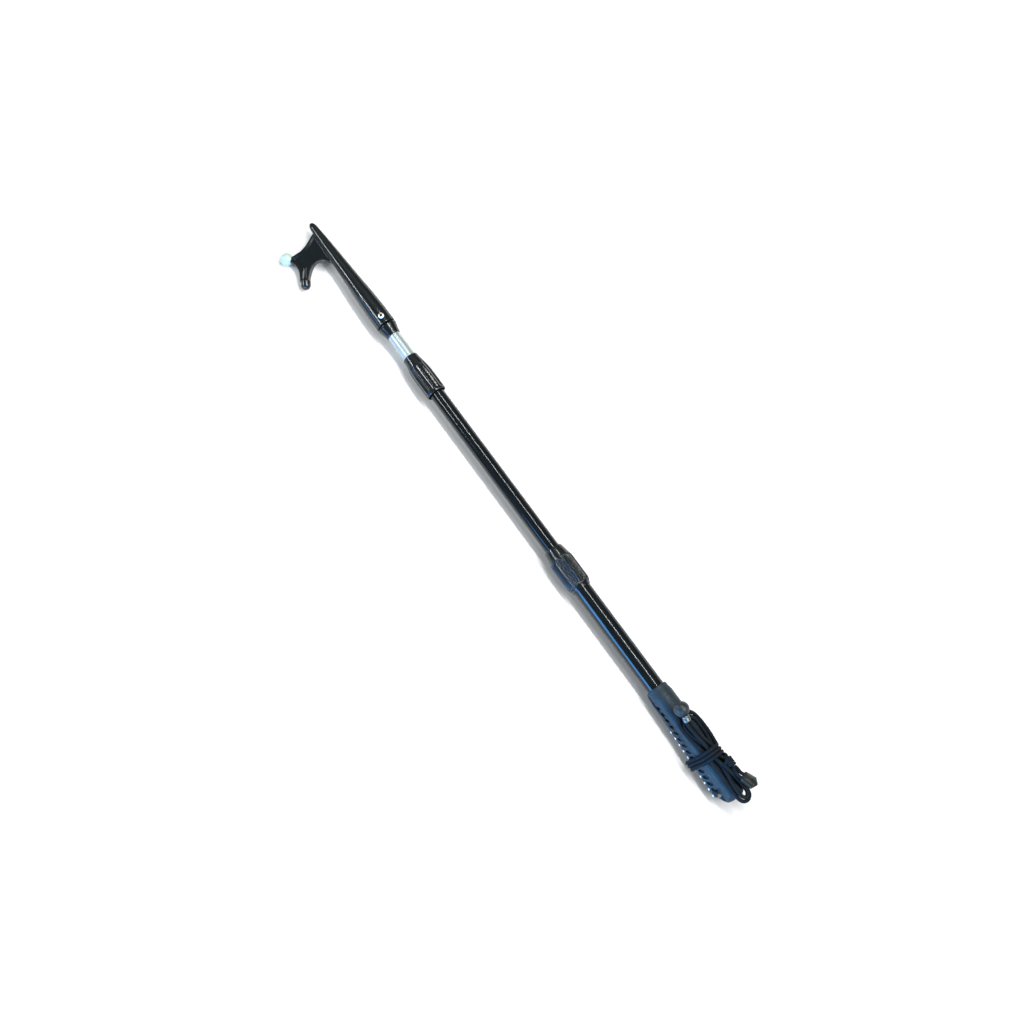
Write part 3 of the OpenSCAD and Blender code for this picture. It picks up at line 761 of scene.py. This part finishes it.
TAB_OUTLINE = [(0, -7.3), (1.2, -8.8), (18.5, -10.8), (20, -10.4), (26.6, -2.4), (26.8, -0.6), (21, 9.6),
               (19, 10.1), (1.2, 8.6), (0, 7.2)]
TAB_LAYERS = [(2.2, -3.5), (1.0, -3.2), (0.3, -2.5), (0, -1.4), (0, -0.7), (0.7, -0.5), (0.7, 0.1), (0, 0.3),
              (0, 1.7), (0.3, 2.5), (0.9, 3.1), (1.6, 3.3), (2.2, 3.0), (2.8, 2.9)]


def tab_piece():
    """Moulded cord end in two halves: a flared block with a lip round its face and ribs across it."""
    outline = []
    for a, b in zip(TAB_OUTLINE, TAB_OUTLINE[1:] + TAB_OUTLINE[:1]):
        for t in (0.05, 0.35, 0.65, 0.95):
            outline.append((a[0] + (b[0] - a[0]) * t, a[1] + (b[1] - a[1]) * t))
    verts, faces = rounded_plate(outline, TAB_LAYERS, on_tab)
    for x in (4.8, 7.8, 10.8, 13.8, 16.8, 19.8):
        w = 6.3 + 0.03 * x
        base = len(verts)
        for dx, z in ((-0.95, 2.6), (-0.6, 3.35), (0, 3.55), (0.6, 3.35), (0.95, 2.6)):
            for y in (-w, -w + 0.5, 0, w - 0.9, w - 0.4):
                verts.append(on_tab(x + dx, y - 0.5, z if abs(y) < w - 0.45 or z < 3 else 2.6))
        for r in range(4):
            for c in range(4):
                a = base + r * 5 + c
                faces.append((a, a + 1, a + 6, a + 5))
    return piece("lanyard_cord_tab", verts, faces, "tab", "handle")


tab = tab_piece()
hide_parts("lanyard_tab")


# ---------- softened copies of CAD shapes ----------

def softened(node, name, voxel_mm, rounds, look, body, shape, filling=None):
    """A moulded piece: the CAD shape and its filling remeshed finely, edges relaxed into fillets.

    shape moves the finished points, as an array in metres.
    """
    bm = bmesh.new()
    bm.from_mesh(NODES[node].data)
    if filling:
        extra = bpy.data.meshes.new("filling")
        extra.from_pydata([tuple(v) for v in filling[0]], [], filling[1])
        outward(extra)
        bm.from_mesh(extra)
        bpy.data.meshes.remove(extra)
    me = bpy.data.meshes.new(name)
    bm.to_mesh(me)
    bm.free()
    ob = bpy.data.objects.new(name, me)
    bpy.context.scene.collection.objects.link(ob)
    mod = ob.modifiers.new("weld", "WELD")
    mod.merge_threshold = 0.00001
    mod = ob.modifiers.new("remesh", "REMESH")
    mod.mode, mod.voxel_size, mod.use_smooth_shade = "VOXEL", voxel_mm * MM, True
    mod = ob.modifiers.new("smooth", "SMOOTH")
    mod.factor, mod.iterations = 0.5, rounds
    dg = bpy.context.evaluated_depsgraph_get()
    final = bpy.data.meshes.new_from_object(ob.evaluated_get(dg))
    ob.modifiers.clear()
    ob.data = final
    bpy.data.meshes.remove(me)
    co = np.zeros(len(final.vertices) * 3, np.float64)
    final.vertices.foreach_get("co", co)
    final.vertices.foreach_set("co", shape(co.reshape(-1, 3)).ravel())
    final.shade_smooth()
    final.materials.clear()
    final.materials.append(M[look])
    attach(ob, body)
    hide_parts(node)
    return ob


def head_shape(co):
    """The nose is drawn out a little past its base curve."""
    u = co[:, 0] / MM - X_HEAD
    new = co.copy()
    new[:, 0] += 4.0 * MM * np.clip((u - 200) / 28, 0, 1) ** 2
    return new


softened("hook_head", "hook_head_moulding", 0.6, 4, "head", "inner", head_shape)


# ---------- collars, cone and rivets ----------
# The collars' outsides follow the CAD; their grooves are deeper, to be seen from the camera.

X_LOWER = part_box("lower_collar_nut")[0].x / MM
X_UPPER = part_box("upper_collar_nut")[0].x / MM


def on_pole(start):
    """Places (x, y, z), z along the pole from start; x points up."""
    return lambda x, y, z: Vector((start + z, AXIS_Y + y, AXIS_Z + x)) * MM


def refined(profile, step=1.3):
    """More points along the long straight parts of a profile."""
    out = []
    for a, b in zip(profile, profile[1:] + profile[:1]):
        n = max(1, int(math.dist(a, b) / step))
        out += [(a[0] + (b[0] - a[0]) * k / n, a[1] + (b[1] - a[1]) * k / n) for k in range(n)]
    return out


def grooves(first_z, last_z, count, depth, low_r, turn, power):
    """Radius with rounded grooves all round between two places, fading out at both ends."""
    def wave(r, z, a):
        fade = np.prod(np.clip([(z - first_z) / 2.5, (last_z - z) / 5, (r - low_r) / 0.8], 0, 1))
        return r - depth * fade * (0.5 + 0.5 * math.cos(count * (a - turn))) ** power
    return wave


lower_profile = [
    (15.0, 74.7), (15.6, 73.9), (16.6, 69.6), (17.3, 66.1), (18.6, 57.7), (19.65, 54), (20.05, 50),
    (20.15, 47), (20.15, 12), (19.95, 5), (19.65, 1.6), (19.15, 0.5), (18.4, 0), (18.2, 0.3), (17.8, 3),
    (17.8, 10), (17.1, 11), (17.1, 47), (16.7, 47.2), (14.8, 64.5), (13.05, 64.7), (13.05, 74.5), (13.4, 74.7)]
upper_profile = [
    (12.9, 79), (13.4, 78.2), (13.9, 73), (15.1, 65), (16.4, 57), (17.5, 48), (17.95, 38), (18.0, 30),
    (17.95, 12), (17.8, 4), (17.3, 1.2), (16.4, 0.1), (16.2, 0.2), (15.5, 3), (15.5, 10), (14.8, 11),
    (14.8, 50.5), (14.3, 50.7), (12.7, 67.5), (11.35, 67.7), (11.35, 78.7), (11.7, 79)]
cone_profile = [
    (11.02, -23), (11.8, -23), (12.5, -22.3), (13.3, -18.5), (15.9, -8.5), (16.9, -5.2), (17.15, -4),
    (17.0, -3.3), (16.6, -3), (15.0, -2.8), (14.9, -0.3), (13.18, -0.2), (13.18, 20), (11.02, 20)]
lower_collar = lathe("lower_collar_grip", refined(lower_profile), on_pole(X_LOWER), "collar", "lower_collar",
                     360, grooves(2, 55, 30, 1.35, 18.0, 0, 1.2))
upper_collar = lathe("upper_collar_grip", refined(upper_profile), on_pole(X_UPPER), "collar", "upper_collar",
                     288, grooves(3, 60, 12, 1.0, 14.5, math.radians(15), 1.0))
cone = lathe("head_cone", refined(cone_profile), on_pole(X_HEAD), "head", "inner", 96)
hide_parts("lower_collar_nut")
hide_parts("upper_collar_nut")
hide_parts("head_reducer")


def rivet_painted_reflections():
    """Dark discs over the middle of each rivet: a painted reflection of the dark surroundings in the shiny
    rivet head.
    """
    low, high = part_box("head_rivets")
    x, reach = middle("head_rivets").x / MM, (high.z - low.z) / 2 / MM
    parts = []
    for side in (1, -1):
        verts = [(x, AXIS_Y, AXIS_Z + side * (reach + 0.5))]
        for r, h in ((1.2, 0.45), (2.2, 0.3), (2.6, 0), (2.6, -1.4)):
            for k in range(24):
                a = 2 * math.pi * k / 24
                verts.append((x + r * math.cos(a), AXIS_Y + r * math.sin(a), AXIS_Z + side * (reach + h)))
        faces = [(0, 1 + k, 1 + (k + 1) % 24) for k in range(24)]
        for ring in range(3):
            base = 1 + 24 * ring
            for k in range(24):
                j = (k + 1) % 24
                faces.append((base + k, base + 24 + k, base + 24 + j, base + j))
        faces.append(tuple(range(73, 97)))
        parts.append(([Vector(v) * MM for v in verts], faces))
    v, f = joined(parts)
    return piece("head_rivet_painted_reflections", v, f, "head", "inner")


rivet_painted_reflections()


# ---------- grip ----------

def edge_q(u):
    """How far the seam flange reaches from the axis, at u from the rim."""
    return GRIP_R + 0.3 + 8.6 * min(max(-u - 20, 0) / 170, 1) ** 1.15


def seam_filling():
    """The sleeve's skin runs straight from the round of the grip to the seam's edge."""
    verts, faces = [], []
    stations = np.linspace(-4, -181, 60)
    for u in stations:
        q, w = edge_q(u) - 0.6, 1.9
        theta = math.atan2(w, q) + math.acos(min(1, (GRIP_R - 0.1) / math.hypot(q, w)))
        t = ((GRIP_R - 0.1) * math.cos(theta), (GRIP_R - 0.1) * math.sin(theta))
        inner = (17 * math.cos(theta), 17 * math.sin(theta))
        for a, b in ((q, w), t, inner, (16.6, 0), (inner[0], -inner[1]), (t[0], -t[1]), (q, -w)):
            verts.append(on_hook(u, a, b, X_RIM))
    for k in range(len(stations) - 1):
        for i in range(7):
            j = (i + 1) % 7
            faces.append((k * 7 + i, k * 7 + j, k * 7 + 7 + j, k * 7 + 7 + i))
    faces.append(tuple(range(7)))
    faces.append(tuple(range(len(verts) - 7, len(verts)))[::-1])
    return verts, faces


SEAM = [(-29 - 11.6 * i, edge_q(-29 - 11.6 * i) - 5.6 - 0.1 * i, 3.7 + 0.1 * i, 1.6 + 0.05 * i)
        for i in range(14) if i != 9]  # each hole's distance from the rim, from the axis, and half sizes
SLANT = math.radians(33)


def grip_shape(co):
    """Rolled rim, a few embossed bars near it and soft waves in the rubber."""
    x = co[:, 0] / MM
    y, z = co[:, 1] / MM - AXIS_Y, co[:, 2] / MM - AXIS_Z
    r = np.hypot(y, z)
    out = np.zeros(len(co))
    outer = r > 16.6
    from_rim = X_RIM - x
    out += np.where(outer, 0.35 * np.exp(-((from_rim - 2.6) / 1.7) ** 2), 0)
    out -= np.where(outer, 0.35 * np.exp(-((from_rim - 6.3) / 1.3) ** 2), 0)
    round_at = np.degrees(np.arctan2(-y, z))
    for k in range(4):
        bar = np.exp(-((from_rim - 22 - 4.2 * k) / 1.1) ** 2) * np.exp(-((round_at - 8) / 17) ** 4)
        out += np.where(outer, 0.45 * bar, 0)
    out += np.where(outer, 0.18 * np.sin(x * 0.16 + 1.3) * np.sin(round_at * 0.05 + x * 0.021), 0)
    scale = 1 + out / np.maximum(r, 1)
    y, z = y * scale, z * scale
    c, s = math.cos(ROLL), math.sin(ROLL)
    q, w = y * c - z * s, -y * s - z * c
    u = x - X_RIM
    for hole_u, hole_q, long, short in SEAM:
        a = (u - hole_u) * math.cos(SLANT) + (q - hole_q) * math.sin(SLANT)
        b = -(u - hole_u) * math.sin(SLANT) + (q - hole_q) * math.cos(SLANT)
        inside = np.clip(1.35 - (a / long) ** 2 - (b / short) ** 2, 0, 0.7) / 0.7
        w = np.where(r > 16.6, np.sign(w) * np.maximum(np.abs(w) - 4.2 * inside, np.minimum(np.abs(w), 0.7)), w)
    new = co.copy()
    new[:, 1] = (AXIS_Y + q * c - w * s) * MM
    new[:, 2] = (AXIS_Z - q * s - w * c) * MM
    return new


softened("grip_sleeve", "grip_sleeve_rubber", 0.75, 5, "grip", "handle", grip_shape,
         seam_filling())


# ---------- thread along the grip's seam ----------

def seam_lacing():
    """A turn of dark thread in each hole."""
    parts = []
    for u, q, long, _ in SEAM:
        top = q + long * math.sin(SLANT)
        bottom = max(q - long * math.sin(SLANT), 16.4)     # outside the outer tube
        mid, half = (top + bottom) / 2, (top - bottom) / 2
        loop = []
        for k in range(-2, 15):
            a = 2 * math.pi * k / 12
            loop.append(on_hook(u + half * 1.2 * -math.cos(a) + 0.5 * math.sin(a), mid - half * math.cos(a),
                                2.4 * math.sin(a), X_RIM))
        line = even(relaxed(even(catmull(loop, 4), 0.35 * MM), 3), 0.35 * MM)
        parts.append(tube_mesh(line, 0.8 * MM, 12, 0.10, 3, 0.0022))
    v, f = joined(parts)
    return piece("grip_seam_thread", v, f, "thread", "handle")


def edge_stitch_glints():
    """Short stitches on the edge between the turns. They are thread in shape, and their pale colour is painted
    glints where the dark thread catches light.
    """
    parts = []
    for u, q, long, short in SEAM[3:]:
        line = [on_hook(u - 5.8 + t, edge_q(u - 5.8 + t) - 0.2 - 0.12 * t * t, -1.6, X_RIM)
                for t in (-1.5, -0.75, 0, 0.75, 1.5)]
        parts.append(tube_mesh(even(catmull(line, 4), 0.3 * MM), 1.05 * MM, 12, 0.08, 3, 0.0022))
    v, f = joined(parts)
    return piece("grip_edge_stitch_glints", v, f, "lacing", "handle")


thread = seam_lacing()
edge_stitch_glints()
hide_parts("grip_lacing")
